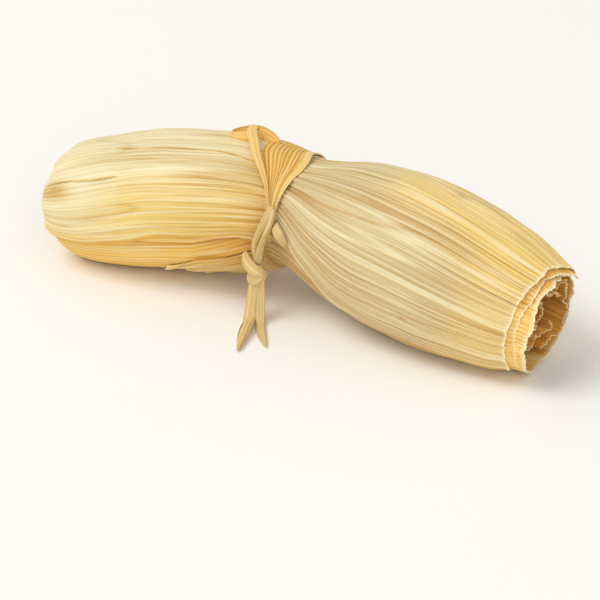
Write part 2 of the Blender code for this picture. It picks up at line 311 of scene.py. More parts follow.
    def settle(self) -> None:
        """Finds the shift that puts this line's bundle where the CAD bundle stands."""
        low, high = (np.array(corner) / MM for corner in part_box("filled_bundle"))
        share = (1.0 - np.cos(np.linspace(0.0, math.pi, self.bundle_rings + 2)[1:-1])) / 2
        share += self.waist_ring * np.sin(math.pi * share)
        s = lerp(self.sections[0][0], self.open_floor, share)
        turns = np.arange(0.0, 360.0, self.bundle_turn)
        s, theta = (grid.ravel() for grid in np.meshgrid(s, turns))
        into = np.maximum(0.0, (s - self.open_floor + self.open_round) / self.open_round)
        size = (self.reach(s, theta) - self.bundle_inset) * np.sqrt(np.maximum(1.0 - into**2, 0.0))
        ring = self.at(s) + self.spokes(s, theta) * size[:, None]
        ends = self.at(np.array([self.sections[0][0], self.open_floor]))
        ring = np.vstack([ring, ends])
        self.shift = ((low + high) - (ring.min(axis=0) + ring.max(axis=0))) / 2
        off = np.round(np.ptp(ring, axis=0) - (high - low), 3)
        LOG.info("bundle size differs from the CAD bundle by %s mm", off)


class Sum:
    """A shader socket that can be used in Python sums."""

    def __init__(self, nodes: Nodes, socket: bpy.types.NodeSocket) -> None:
        """Wraps a socket.

        Args:
            nodes: the material's node maker.
            socket: the output socket.
        """
        self.nodes = nodes
        self.socket = socket

    def math(self, operation: str, *others: Sum | float) -> Sum:
        """Adds a Math node on this value and the others."""
        return self.nodes.math(operation, self, *others)

    def __add__(self, other: Sum | float) -> Sum:
        """Sum."""
        return self.math("ADD", other)

    __radd__ = __add__

    def __mul__(self, other: Sum | float) -> Sum:
        """Product."""
        return self.math("MULTIPLY", other)

    __rmul__ = __mul__

    def __sub__(self, other: Sum | float) -> Sum:
        """Difference."""
        return self.math("SUBTRACT", other)

    def __rsub__(self, other: float) -> Sum:
        """Difference from a number."""
        return self.nodes.math("SUBTRACT", other, self)

    def clamp(self) -> Sum:
        """Keeps the value between 0 and 1."""
        return self.nodes.math("ADD", self, 0.0, clamp=True)


class Nodes:
    """Makes the nodes of one material."""

    def __init__(self, material: bpy.types.Material) -> None:
        """Clears the material's node tree.

        Args:
            material: the material to fill.
        """
        material.use_nodes = True
        self.tree = material.node_tree
        self.tree.nodes.clear()

    def add(
        self, kind: str, settings: dict[str, Any] | None = None, **inputs: Any
    ) -> bpy.types.Node:
        """Adds a node.

        Args:
            kind: the node's type.
            settings: attributes set first.
            inputs: values or links by input name, with underscores for spaces, or _0, _1 by number.

        Returns:
            The node.
        """
        node = self.tree.nodes.new(kind)
        for name, value in (settings or {}).items():
            setattr(node, name, value)
        for name, value in inputs.items():
            key = int(name[1:]) if name[0] == "_" else name.replace("_", " ")
            self.feed(node.inputs[key], value)
        return node

    def feed(self, socket: bpy.types.NodeSocket, value: Any) -> None:
        """Links or sets one input socket.

        Args:
            socket: the input.
            value: a Sum, an output socket, a number or a colour.
        """
        if isinstance(value, Sum):
            value = value.socket
        if isinstance(value, bpy.types.NodeSocket):
            self.tree.links.new(value, socket)
        elif isinstance(value, tuple) and len(value) == 3 and socket.type == "RGBA":
            socket.default_value = (*value, 1.0)
        else:
            socket.default_value = value

    def math(self, operation: str, *values: Sum | float, clamp: bool = False) -> Sum:
        """Adds a Math node.

        Args:
            operation: what it works out.
            values: its inputs in order.
            clamp: whether the result is kept between 0 and 1.

        Returns:
            The result.
        """
        inputs = {f"_{i}": value for i, value in enumerate(values)}
        node = self.add("ShaderNodeMath", {"operation": operation, "use_clamp": clamp}, **inputs)
        return Sum(self, node.outputs[0])

    def mix(self, share: Sum | float, low: Any, high: Any) -> bpy.types.NodeSocket:
        """Adds a colour mix.

        Args:
            share: how much of the second colour.
            low: first colour.
            high: second colour.

        Returns:
            The mixed colour's socket.
        """
        settings = {"data_type": "RGBA", "blend_type": "MIX", "clamp_factor": True}
        node = self.add("ShaderNodeMix", settings, _0=share, _6=low, _7=high)
        return node.outputs[2]

    def attribute(self, name: str) -> Sum:
        """Reads one of the piece's own attributes."""
        settings = {"attribute_type": "GEOMETRY", "attribute_name": name}
        return Sum(self, self.add("ShaderNodeAttribute", settings).outputs["Fac"])

    def noise(self, vector: Any, scale: float, detail: float = 2.0, roughness: float = 0.5) -> Sum:
        """Adds a noise texture.

        Args:
            vector: where it is read.
            scale: bumps for each unit.
            detail: octaves.
            roughness: strength of the fine octaves.

        Returns:
            The noise, near 0.5 on average.
        """
        inputs = {"Vector": vector, "Scale": scale, "Detail": detail, "Roughness": roughness}
        return Sum(self, self.add("ShaderNodeTexNoise", None, **inputs).outputs[0])

    def stretch(
        self, vector: Any, along: float, across: float, seed: float = 0.0
    ) -> bpy.types.NodeSocket:
        """Scales a UV place, for streaks that run along the fibre.

        Args:
            vector: UV coordinates.
            along: bumps for each UV unit along the fibre.
            across: bumps for each UV unit across it.
            seed: moves the pattern.

        Returns:
            The scaled vector's socket.
        """
        node = self.add(
            "ShaderNodeMapping",
            {"vector_type": "POINT"},
            Vector=vector,
            Location=(seed, seed * 1.7, seed * 0.6),
            Scale=(along, across, 1.0),
        )
        return node.outputs[0]


@dataclass(frozen=True)
class HuskFinish:
    """Dried corn husk: satin, finely veined, with painted amber shade in the valleys and painted
    highlights on cut edges.
    """

    name: str
    slot: str
    light: Colour
    body: Colour
    # The third colour is the darkest painted shade, also used for darker vein streaks.
    shade_and_vein: Colour
    pale: Colour = linear(240, 226, 178)
    # Gold colour: the husk's own gold, also carrying painted glow and painted shadow.
    gold: Colour = linear(246, 196, 96)
    # Colour of the painted highlights on cut edges and on the thin bright lines.
    rim: Colour = linear(255, 243, 204)
    shadow: Colour = linear(212, 184, 122)
    brown: Colour = linear(168, 112, 48)
    streaks: float = 0.55
    # Strength of the painted shade in valleys and hollows.
    valley: float = 0.8
    # Strength of the thin painted highlight lines and the thin dark vein lines.
    lines: float = 0.6
    line_sharpness: float = 13.0
    seed: float = 0.0
    roughness: float = 0.5
    glow: float = 0.05

    def material(self) -> bpy.types.Material:
        """Builds the material.

        Returns:
            The material, which reads the piece's "fibre" UV map and its FACTORS: painted shade,
            warmth and painted cut-edge highlight.
        """
        made = bpy.data.materials.new(self.name)
        n = Nodes(made)
        uv = n.add("ShaderNodeUVMap", {"uv_map": "fibre"}).outputs[0]
        place = n.add("ShaderNodeTexCoord").outputs["Object"]
        seed = self.seed
        fine = n.noise(n.stretch(uv, 4.0, 240.0, seed), 1.0, 2.0, 0.6)
        vein = n.noise(n.stretch(uv, 1.6, 95.0, seed + 3.1), 1.0, 2.0, 0.55)
        band = n.noise(n.stretch(uv, 1.1, 22.0, seed + 7.7), 1.0, 2.0, 0.5)
        patch = n.noise(place, 30.0, 2.0, 0.5)
        gate = ((n.noise(n.stretch(uv, 2.6, 13.0, seed + 15.3), 1.0, 1.0) - 0.34) * 3.0).clamp()
        # Thin dark lines along the fibre: part vein colour, part painted shade in the vein grooves.
        vein_shade_line = self.thin_line(n, n.stretch(uv, 1.0, 64.0, seed + 21.9)) * gate
        # Thin bright lines along the fibre: painted highlights on the fibre crests.
        highlight_line = self.thin_line(n, n.stretch(uv, 1.0, 58.0, seed + 40.2)) * (1.0 - gate * 0.5)
        valley, warm, rim = n.attribute("valley"), n.attribute("warm"), n.attribute("rim")
        mottle = (vein - 0.5) * 1.3 + (band - 0.5) * 1.7 + (fine - 0.5) * 0.8
        tone = (0.5 + mottle * self.streaks * 1.6).clamp()
        colour = n.mix(tone, self.body, self.light)
        # Pale and gold by warmth: the husk's own tone, with painted glow and painted shadow in it.
        colour = n.mix(((0.5 - warm) * 2.0).clamp(), colour, self.pale)
        colour = n.mix(((warm - 0.5) * 2.0).clamp(), colour, self.gold)
        # Painted shade colour: darkest where the husk is gold, towards the shadow colour where it
        # is pale.
        shade_and_vein = n.mix(((0.5 - warm) * 1.7).clamp(), self.shade_and_vein, self.shadow)
        # Painted shade in valleys, hollows and along side edges, plus darker vein streaks.
        depth = (valley * self.valley + (0.42 - vein) * 0.8 * self.streaks).clamp()
        colour = n.mix(depth, colour, shade_and_vein)
        # Thin dark lines in the painted shade colour.
        colour = n.mix(vein_shade_line * self.lines, colour, shade_and_vein)
        # Painted highlight lines.
        colour = n.mix(highlight_line * (self.lines * 0.7), colour, self.rim)
        dots = n.noise(n.stretch(uv, 16.0, 120.0, seed + 11.0), 1.0, 2.0, 0.6)
        speck = ((0.30 - dots) * 7.0).clamp()
        colour = n.mix(speck * 0.3, colour, self.brown)
        # Painted highlight on cut edges.
        colour = n.mix(rim, colour, self.rim)
        height = fine * 0.35 + vein * 0.7 - vein_shade_line * 0.5 + highlight_line * 0.4
        height = height + n.noise(place, 1100.0, 2.0, 0.5) * 0.1
        relief = n.add("ShaderNodeBump", None, Strength=0.9, Distance=0.00025, Height=height)
        shine = self.roughness + (patch - 0.5) * 0.2 + (vein - 0.5) * 0.2
        shader = n.add(
            "ShaderNodeBsdfPrincipled",
            None,
            Base_Color=colour,
            Roughness=shine,
            IOR=1.45,
            Specular_IOR_Level=0.4,
            Subsurface_Weight=self.glow,
            Subsurface_Scale=0.0015,
            Subsurface_Radius=(1.0, 0.6, 0.2),
            Normal=relief.outputs[0],
        )
        n.add("ShaderNodeOutputMaterial", None, Surface=shader.outputs[0])
        return made

    def thin_line(self, n: Nodes, vector: bpy.types.NodeSocket) -> Sum:
        """Thin lines along the fibre, 1 on a line and 0 off it."""
        off = n.math("ABSOLUTE", n.noise(vector, 1.0, 0.0) - 0.5)
        return (1.0 - off * self.line_sharpness).clamp()


class Tone(Enum):
    """The husk finishes on this tamale."""

    PALE = HuskFinish(
        "husk_pale", "husk_pale",
        linear(226, 209, 162), linear(206, 183, 131), linear(194, 149, 78),
        pale=linear(212, 191, 142), gold=linear(252, 216, 130), shadow=linear(198, 166, 106),
        seed=1.3, streaks=0.7, lines=0.85,
    )
    STRAW = HuskFinish(
        "husk_straw", "husk_straw",
        linear(242, 219, 146), linear(229, 197, 112), linear(202, 150, 62),
        pale=linear(244, 231, 188), shadow=linear(206, 174, 106),
        seed=4.9, streaks=0.75, lines=0.95,
    )
    GOLD = HuskFinish(
        "husk_gold", "husk_straw",
        linear(255, 236, 164), linear(252, 220, 132), linear(230, 170, 72),
        seed=12.4,
    )
    AMBER = HuskFinish(
        "husk_amber", "husk_amber",
        linear(252, 220, 126), linear(242, 194, 86), linear(208, 138, 44),
        seed=17.1, lines=0.8,
    )
    UNDER = HuskFinish(
        "husk_under", "husk_amber",
        linear(222, 194, 122), linear(204, 168, 92), linear(164, 112, 44),
        seed=23.6,
    )
    INSIDE = HuskFinish(
        "husk_inside", "husk_amber",
        linear(255, 226, 136), linear(250, 200, 92), linear(206, 134, 40),
        seed=29.5,
    )
    TIE = HuskFinish(
        "tie_strip", "husk_amber",
        linear(230, 202, 138), linear(210, 172, 104), linear(160, 112, 52),
        seed=33.3,
    )
    TIE_GOLD = HuskFinish(
        "tie_gold", "husk_amber",
        linear(250, 217, 126), linear(241, 193, 88), linear(208, 140, 38),
        seed=37.8,
    )


class Workshop:
    """Keeps the spine and the materials, and turns finished meshes into pieces of the object."""

    SHARP = math.radians(55)

    def __init__(self) -> None:
        """Sets up the spine and an empty shelf of materials."""
        self.spine = Spine()
        self.shelf: dict[Tone, bpy.types.Material] = {}

    def material(self, tone: Tone) -> bpy.types.Material:
        """The material of a tone, made once.

        Args:
            tone: the finish.

        Returns:
            Its material.
        """
        if tone not in self.shelf:
            self.shelf[tone] = tone.value.material()
        return self.shelf[tone]

    def finish(
        self, name: str, made: bmesh.types.BMesh, tone: Tone, nodes: tuple[str, ...] = ()
    ) -> bpy.types.Object:
        """Makes an object of a mesh in metres, dresses it and joins it to the frame.

        Args:
            name: the piece's name.
            made: its mesh, which is used up.
            tone: its finish.
            nodes: CAD nodes that it stands for.

        Returns:
            The piece.
        """
        mesh = bpy.data.meshes.new(name)
        made.to_mesh(mesh)
        made.free()
        mesh.materials.append(self.material(tone))
        mesh.shade_smooth()
        mesh.set_sharp_from_angle(angle=self.SHARP)
        piece = bpy.data.objects.new(name, mesh)
        bpy.context.scene.collection.objects.link(piece)
        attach(piece, "root")
        if nodes:
            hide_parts(*nodes)
        LOG.info("made %s: %d faces", name, len(mesh.polygons))
        return piece


@dataclass
class Web:
    """A thin husk over a grid of u (along the fibre) and v (across it), given a wall thickness."""

    columns: int
    rows: int
    thickness: float = 0.35

    def build(self, surface: Callable[[Array, Array], Sheet]) -> bmesh.types.BMesh:
        """Builds the sheet.

        Args:
            surface: gives "place", "out" and "uv" (mm), and the FACTORS (painted shade, warmth,
                painted cut-edge highlight) for u and v.

        Returns:
            The mesh in metres, with its UV map and attributes.
        """
        made = bmesh.new()
        bmesh.ops.create_grid(made, x_segments=self.columns, y_segments=self.rows, size=0.5)
        grid = np.array([vert.co[:2] for vert in made.verts]) + 0.5
        data = surface(grid[:, 0], grid[:, 1])
        layers = {key: made.verts.layers.float.new(key) for key in (*FACTORS, "along", "across")}
        values = {key: data[key].tolist() for key in FACTORS}
        values["along"], values["across"] = data["uv"].T.tolist()
        places = (data["place"] * MM).tolist()
        for i, vert in enumerate(made.verts):
            vert.co = places[i]
            for key, layer in layers.items():
                vert[layer] = values[key][i]
        self.turn_outwards(made, data)
        bmesh.ops.solidify(made, geom=list(made.faces), thickness=self.thickness * MM)
        uv = made.loops.layers.uv.new("fibre")
        along, across = layers["along"], layers["across"]
        for face in made.faces:
            for loop in face.loops:
                loop[uv].uv = (loop.vert[along] / UV_UNIT, loop.vert[across] / UV_UNIT)
        return made

    @staticmethod
    def turn_outwards(made: bmesh.types.BMesh, data: Sheet) -> None:
        """Turns the sheet's faces to the side that its surface calls the outside.

        Args:
            made: the sheet.
            data: the surface's values, with "out" as a point outside for each vertex.
        """
        made.faces.ensure_lookup_table()
        made.normal_update()
        middle = made.faces[len(made.faces) // 2]
        outside = Vector(data["out"][middle.verts[0].index] * MM)
        if (outside - middle.calc_center_median()).dot(middle.normal) < 0:
            bmesh.ops.reverse_faces(made, faces=list(made.faces))


@dataclass(frozen=True)
class Relief:
    """Ribs, lengthwise folds, gathers at the waist and teeth at a cut end, in millimetres, with
    painted shade in their valleys.
    """

    rib_pitch: float = 2.0
    rib_depth: float = 0.16
    fold_pitch: float = 6.0
    fold_depth: float = 0.3
    gather_pitch: float = 4.6
    gather_depth: float = 0.7
    gather_reach: float = 18.0
    teeth_pitch: float = 2.8
    teeth_depth: float = 0.0
    teeth_reach: float = 18.0

    def shape(
        self, across: Array, distance: Array, length: float, seed: int
    ) -> tuple[Array, Array]:
        """Height of the relief and the painted shade in its valleys.

        Args:
            across: millimetres across the fibre.
            distance: millimetres along it from the waist.
            length: the far end's distance.
            seed: which leaf this is.

        Returns:
            Height in millimetres, and painted shade in the valleys from 0 to 1.
        """
        slow, fast = Ripple(seed), Ripple(seed + 100)
        phase = (across + slow(across / 5.0, 5.0) * 1.4) / self.rib_pitch
        strength = fast(np.floor(phase) * 1.37 + 0.5, distance / 34.0)
        strength = np.clip(0.7 + 0.6 * strength, 0.15, 1.4)
        arch = ridge(phase, 0.6)
        minor = ridge(phase * 2.0 + slow(across / 3.0, 75.0), 0.6)
        relief = self.rib_depth * strength * (arch - 0.6) + self.rib_depth * 0.3 * (minor - 0.6)
        # Painted shade: darker in the rib valleys, then in the fold grooves, the gathers and the
        # teeth below.
        valley = (1.0 - arch) ** 1.5 * 0.95 * strength * min(self.rib_depth / 0.16, 1.3)
        valley += (1.0 - minor) ** 2 * 0.3
        crest = 1.0 - np.abs(slow(across / self.fold_pitch, distance / 130.0 + 40.0))
        groove = 1.0 - np.abs(fast(across / self.fold_pitch, distance / 130.0 + 20.0))
        relief += self.fold_depth * (crest**2 - 0.5 - 0.8 * groove**6)
        valley += np.clip(groove, 0.0, 1.0) ** 34 * min(self.fold_depth / 0.3, 1.5) * 0.8
        gather = ridge((across + slow(across / 9.0, 15.0) * 2.0) / self.gather_pitch, 0.7)
        pull = np.exp(-np.maximum(distance - 2.0, 0.0) / self.gather_reach)
        relief += self.gather_depth * pull * (gather - 0.5)
        valley += (1.0 - gather) ** 2.5 * np.clip(self.gather_depth * pull * 1.3, 0.0, 1.0)
        teeth = ridge((across + fast(across / 8.0, 25.0) * 1.6) / self.teeth_pitch, 0.8)
        end = ease((distance - length + self.teeth_reach) / self.teeth_reach)
        relief += self.teeth_depth * end * (teeth - 0.5)
        valley += (1.0 - teeth) ** 1.6 * np.clip(self.teeth_depth * end * 1.4, 0.0, 1.0)
        return relief, np.clip(valley, 0.0, 1.0)


@dataclass(frozen=True)
class Dent:
    """A shallow rise of the husks round one place, or a dent where its height is negative."""

    height: float
    distance: float
    length: float
    theta: float
    width: float

    def at(self, distance: Array, theta: Array) -> Array:
        """Its height at a place."""
        height = self.height * bump(distance, self.distance, self.length)
        return height * bump(theta, self.theta, self.width)


FOLDED_DENTS = (
    Dent(-1.5, 94.0, 10.0, -5.0, 45.0),
    Dent(0.6, 82.0, 5.0, -30.0, 30.0),
    Dent(-0.8, 87.0, 5.0, 57.0, 9.0),
    Dent(-1.6, 4.0, 10.0, -20.0, 40.0),
)
OPEN_DENTS = (Dent(-1.35, 11.0, 12.0, -20.0, 40.0),)


@dataclass
class Leaf:
    """One husk leaf of the wrap.

    Angle pairs are its two side edges, at the waist, the bulge and the far end. Half is -1 for the
    folded half and 1 for the open half. Distances run from the waist. A leaf with a guide carries
    the guide's ribs, so that two husks laid together share their veins.
    """

    name: str
    nodes: tuple[str, ...]
    tone: Tone
    half: int
    lift: float
    waist: tuple[float, float]
    bulge: tuple[float, float]
    tip: tuple[float, float]
    start: float
    reach: tuple[float, float]
    fan: float = 0.35
    columns: int = 100
    rows: int = 300
    relief: Relief = Relief()
    rag: float = 0.5
    curl: tuple[float, float] = (0.0, 0.0)
    tuck: tuple[float, float] = (0.0, 0.0)
    tuck_end: float = 400.0
    sunk: tuple[float, float] = (0.0, 0.0)
    fade_in: float = 0.0
    end_lift: tuple[float, float] = (0.0, 0.0)
    end_span: float = 10.0
    edge_wave: float = 1.0
    thickness: float = 0.3
    seed: int = 1
    scale: float = 1.0
    spiral: float = 1.0
    crumple: float = 0.0
    warm: float = 0.0
    depth_shade: float = 0.0
    slant: float = 0.0
    slant_at: float = 80.0
    girth: float = 25.0
    power: float = 1.0
    # Strength of the painted shade line along the side edges, which also turns them golder.
    edge_shade: float = 0.5
    # Strength of the painted highlight on the cut far edge.
    rim: float = 0.9
    guide: Leaf | None = None
    guide_share: float = 0.0

    @property
    def width(self) -> float:
        """Width across the fibre at the bulge, in millimetres."""
        return math.radians(abs(self.bulge[1] - self.bulge[0])) * self.girth

    @property
    def length(self) -> float:
        """Distance of the far edge from the waist."""
        return max(self.reach) + self.slant

    def opening(self, u: Array) -> Array:
        """How far the leaf has opened at u, from 0 at the waist to 1 at the bulge."""
        share = np.clip(u / self.fan, 0.0, 1.0)
        return 1.0 - (1.0 - lerp(share, ease(share), 0.35)) ** self.power

    def angles(self, u: Array) -> tuple[Array, Array]:
        """The leaf's two side edges.

        Args:
            u: share of the way from the waist to the far edge.

        Returns:
            Angles of the first and the last edge.
        """
        opened = self.opening(u)
        closing = ease((u - self.fan) / (1.0 - self.fan + 1e-6))
        edges = []
        for k in (0, 1):
            angle = lerp(self.waist[k], self.bulge[k], opened)
            edges.append(angle + (self.tip[k] - self.bulge[k]) * closing)
        return edges[0], edges[1]

    def line(self, u: Array, v: Array) -> Array:
        """Where a fibre runs.

        Args:
            u: share of the way from the waist to the far edge.
            v: the fibre, from 0 at the first edge to 1 at the last.

        Returns:
            Its angle round the line.
        """
        low, high = self.angles(u)
        spread = abs(self.bulge[1] - self.bulge[0]) / abs(self.waist[1] - self.waist[0])
        return lerp(low, high, lerp(1.0 - (1.0 - v) ** max(spread, 1.0), v, self.opening(u)))

    def fibre(self, distance: Array, theta: Array) -> Array:
        """The fibre of this leaf that runs through a place, found by halving.

        Args:
            distance: distance from the waist.
            theta: angle round the line.

        Returns:
            Its share of the way across.
        """
        low, high = np.zeros_like(distance), np.ones_like(distance)
        for _ in range(16):
            middle = (low + high) / 2
            u = (distance - self.start) / (lerp(*self.reach, middle) - self.start)
            beyond = self.line(u, middle) > theta
            low, high = np.where(beyond, low, middle), np.where(beyond, middle, high)
        return (low + high) / 2

    def warmth(self, distance: Array, theta: Array) -> tuple[Array, Array]:
        """How golden the husk is, and how much shade is painted on it.

        Args:
            distance: distance from the waist.
            theta: angle round the line.

        Returns:
            Gold, where 0 is pale, 0.5 plain and 1 gold, and painted shade from 0 up.
        """
        blotch = Ripple(700 + self.half)(distance / 26.0, theta / 30.0)
        shade = np.zeros_like(distance)
        if self.half < 0:
            pale_top = ease((66.0 - theta) / 34.0)
            front = ease((theta - 34.0) / 10.0) * (1.0 - ease((theta - 92.0) / 8.0))
            tip = 0.09 * ease((distance - 56.0 - 2.0 * blotch) / 3.0)
            tip = tip + 0.28 * ease((distance - 50.0) / 30.0)
            # Painted shadow in the hollow under the folded flap's edge, which also turns it golder.
            pocket_shadow = bump(distance, 84.0, 6.0) * bump(theta, 57.0, 9.0)
            # Painted shade on the front near the waist.
            neck_shade = 0.9 * np.exp(-np.maximum(distance, 0.0) / 16.0)
            shade = pocket_shadow + neck_shade * ease((theta + 5.0) / 45.0)
            golden = 0.5 - 0.46 * pale_top - tip * front + 0.5 * pocket_shadow
            golden = golden + 0.14 * bump(distance, 4.0, 12.0) + 0.1 * ease((theta - 100.0) / 60.0)
        else:
            # Golder towards the top and towards the far end: the husk's own gold, with painted glow
            # of light through the thin husk at the far end.
            upper = 0.5 * ease((74.0 - theta) / 85.0)
            upper = upper * lerp(0.2, 1.2, ease((distance - 20.0) / 36.0))
            golden = 0.34 + upper + 0.4 * ease((distance - 58.0) / 40.0)
            # Painted shade on the lower side, near the waist.
            shade = 0.35 * ease((theta - 72.0) / 26.0) * (1.0 - ease((distance - 50.0) / 30.0))
        return np.clip(golden + 0.08 * blotch + self.warm, 0.0, 1.0), shade

    def swell(self, distance: Array, theta: Array) -> Array:
        """Slow unevenness and dents, shared by all leaves of a half.

        Args:
            distance: distance from the waist.
            theta: angle round the line.

        Returns:
            Millimetres to add to the height.
        """
        noise = Ripple(900 + self.half)
        height = 0.45 * noise(distance / 24.0, theta / 28.0)
        height = height + 0.15 * noise(distance / 9.0, theta / 10.0 + 30.0)
        theta = (theta + 180.0) % 360.0 - 180.0
        for dent in FOLDED_DENTS if self.half < 0 else OPEN_DENTS:
            height = height + dent.at(distance, theta)
        if self.half > 0:
            height = height - 3.0 * ease((distance - 84.0) / 24.0) * bump(theta, -34.0, 44.0)
        return height

    def ribs(self, u: Array, v: Array, distance: Array) -> tuple[Array, Array, Array, Array]:
        """The leaf's angles and ribs, which follow its guide where it has one.

        Args:
            u: share of the way from the waist to the far edge.
            v: share of the way across.
            distance: distance from the waist.

        Returns:
            Angle, millimetres across the fibre, height of the ribs and the painted shade in their
            valleys.
        """
        leader = self.guide or self
        if self.guide_share:
            fibre = v * self.guide_share
            ahead = (distance - leader.start) / (lerp(*leader.reach, fibre) - leader.start)
            theta = leader.line(np.clip(ahead, 0.0, 1.0), fibre)
        else:
            slow = Ripple(self.seed)
            wave = slow(distance / 14.0, 21.0) * bump(v, 0.0, EDGE_BAND)
            wave = wave + slow(distance / 14.0, 31.0) * bump(v, 1.0, EDGE_BAND)
            theta = self.line(u, v) + wave * self.edge_wave * 2.0
            fibre = leader.fibre(distance, theta) if self.guide else v
        across = fibre * leader.width
        relief, valley = leader.relief.shape(across, distance, leader.length, leader.seed)
        return theta, across, relief, valley

    def surface(self, spine: Spine, u: Array, v: Array) -> Sheet:
        """The leaf's shape.

        Args:
            spine: the bundle's line.
            u: share of the way from the waist to the far edge.
            v: share of the way across.

        Returns:
            Places, UV, attributes and outside points.
        """
        slow, rag = Ripple(self.seed), Ripple(self.seed + 200)
        length = self.length
        across = v * self.width
        torn = rag(across / 0.9, 3.0) * 0.35 + rag(across / 6.0, 9.0)
        lean = np.cos(np.radians(lerp(*self.tip, v) - self.slant_at))
        far = lerp(*self.reach, v) + self.slant * lean
        distance = lerp(self.start, far, u) + torn * self.rag * ease((u - 0.8) / 0.2)
        theta, across, relief, valley = self.ribs(u, v, distance)
        relief += self.swell(distance, theta)
        for side in (0, 1):
            wobble = 1.0 + 0.6 * slow(distance / 9.0, 41.0 + 10.0 * side)
            relief += self.curl[side] * bump(v, side, EDGE_BAND) * wobble
        first, last = 1.0 - ease(v / TUCK_BAND), 1.0 - ease((1.0 - v) / TUCK_BAND)
        tuck = self.tuck[0] * first + self.tuck[1] * last
        relief -= tuck * (1.0 - ease((distance - self.tuck_end) / 22.0))
        end = ease((distance - length + self.end_span) / self.end_span)
        relief += lerp(*self.end_lift, v) * end * end
        if self.sunk[0]:
            relief -= self.sunk[0] * (1.0 - ease((distance - self.sunk[1]) / 6.0))
        if self.fade_in:
            relief -= 1.5 * (1.0 - ease((distance - self.start) / self.fade_in)) ** 2
        pinch = 1.0 - 0.42 * bump(distance, 0.0, 5.0)
        if self.half > 0:
            pinch = 1.0 - 0.5 * bump(distance, 2.0, 16.0)
        height = self.lift * pinch + relief * lerp(0.25, 1.0, ease((distance + 2.0) / 5.0))
        scale = self.scale * lerp(1.0, self.spiral, v)
        if self.crumple:
            scale = scale * (1.0 + self.crumple * slow(across / 6.0, distance / 30.0 + 60.0))
        s = self.half * distance
        # Painted shade along the side edges, where an edge would shade the husk under it.
        edge_shade_mask = ease((v - 0.984) / 0.008) + ease((0.012 - v) / 0.006)
        # Painted shade: darker inside the mouth, under the folded flap, near the waist and on the
        # lower side.
        warm, dark = self.warmth(distance, theta)
        shade = self.depth_shade * (1.0 - ease((distance - length + 18.0) / 16.0)) + dark
        return {
            "place": spine.skin(s, theta, height, scale),
            "out": spine.skin(s, theta, height + OUTSIDE, scale),
            "uv": np.stack([distance, across], axis=-1),
            # Painted shade in valleys and hollows and along the side edges; the side edges also
            # turn golder.
            "valley": np.clip(valley + shade + self.edge_shade * edge_shade_mask, 0.0, 1.0),
            "warm": np.clip(warm + self.edge_shade * edge_shade_mask, 0.0, 1.0),
            # Painted highlight on the cut far edge.
            "rim": self.rim * ease((u - 0.988) / 0.008),
        }

    def build(self, shop: Workshop) -> bpy.types.Object:
        """Makes the leaf's piece.

        Args:
            shop: the workshop.

        Returns:
            The piece.
        """
        web = Web(self.columns, self.rows, self.thickness)
        made = web.build(lambda u, v: self.surface(shop.spine, u, v))
        return shop.finish(self.name, made, self.tone, self.nodes)


@dataclass
class FoldedHalf:
    """The closed half: its leaves, and the leaf folded over its end."""

    front_lift: float = 2.2

    def leaves(self) -> list[Leaf]:
        """The husks of this half.

        Returns:
            Leaves from the inside out.
        """
        lift = self.front_lift
        front = Leaf(
            "left_front_leaf", ("left_front_husk",), Tone.STRAW, -1, lift,
            (-74, 95), (-74, 95), (-70, 108), -3.0, (90.5, 90.0),
            fan=0.5, seed=17, rows=460, curl=(0.0, 0.35), end_lift=(0.0, 1.1), rag=0.9,
            relief=Relief(rib_depth=0.14, fold_depth=0.24, fold_pitch=9.0, gather_depth=0.7,
                          teeth_depth=0.3, teeth_reach=9.0),
        )
        return [
            Leaf("left_back_leaf", ("left_back_husk",), Tone.STRAW, -1, 0.4,
                 (150, 318), (140, 322), (140, 322), -3.0, (92.0, 92.0), seed=11, rows=170),
            Leaf("left_end_leaf", (), Tone.STRAW, -1, 0.2,
                 (200, 560), (200, 560), (200, 560), 82.0, (92.97, 92.97),
                 seed=19, rows=300, columns=30, rag=0.0, edge_wave=0.0, edge_shade=0.0),
            Leaf("left_lower_leaf", ("left_lower_husk",), Tone.AMBER, -1, 1.3,
                 (76, 226), (90, 236), (96, 236), 0.5, (90.5, 92.0),
                 seed=13, tuck=(0.8, 0.6), rows=380, rag=0.6,
                 relief=Relief(rib_depth=0.22, fold_depth=0.75, fold_pitch=8.0, gather_depth=1.7,
                               gather_pitch=4.0, gather_reach=14.0)),
            front,
            Leaf("left_fold_leaf", ("left_fold_husk",), Tone.STRAW, -1, lift + 0.55,
                 (-68, 47), (-68, 49), (-68, 50), 51.0, (91.8, 87.4),
                 fan=0.5, seed=23, rows=300, curl=(0.0, 0.3), fade_in=20.0, end_lift=(0.0, 0.5),
                 tuck=(0.0, 0.3), rag=0.7, edge_wave=0.6, guide=front),
            Leaf("left_top_leaf", ("left_top_husk",), Tone.STRAW, -1, lift + 0.6,
                 (-60, 25), (-62, 17), (-62, 15), -2.0, (78.0, 76.0),
                 seed=29, rows=280, columns=90, curl=(0.0, 0.15), tuck=(0.0, 0.4),
                 end_lift=(-1.9, -1.9), end_span=16.0, edge_wave=0.7, guide=front),
            Leaf("left_loose_leaf", ("left_loose_husk",), Tone.STRAW, -1, lift + 0.2,
                 (106, 138), (114, 152), (124, 152), 1.0, (46.0, 32.0),
                 fan=0.6, seed=31, rows=130, columns=90, curl=(0.6, 1.2), edge_wave=2.0, rag=1.2,
                 relief=Relief(rib_depth=0.2, fold_depth=0.9, fold_pitch=5.0, gather_depth=1.2)),
        ]

    def build(self, shop: Workshop) -> None:
        """Makes all its leaves."""
        for leaf in self.leaves():
            leaf.build(shop)


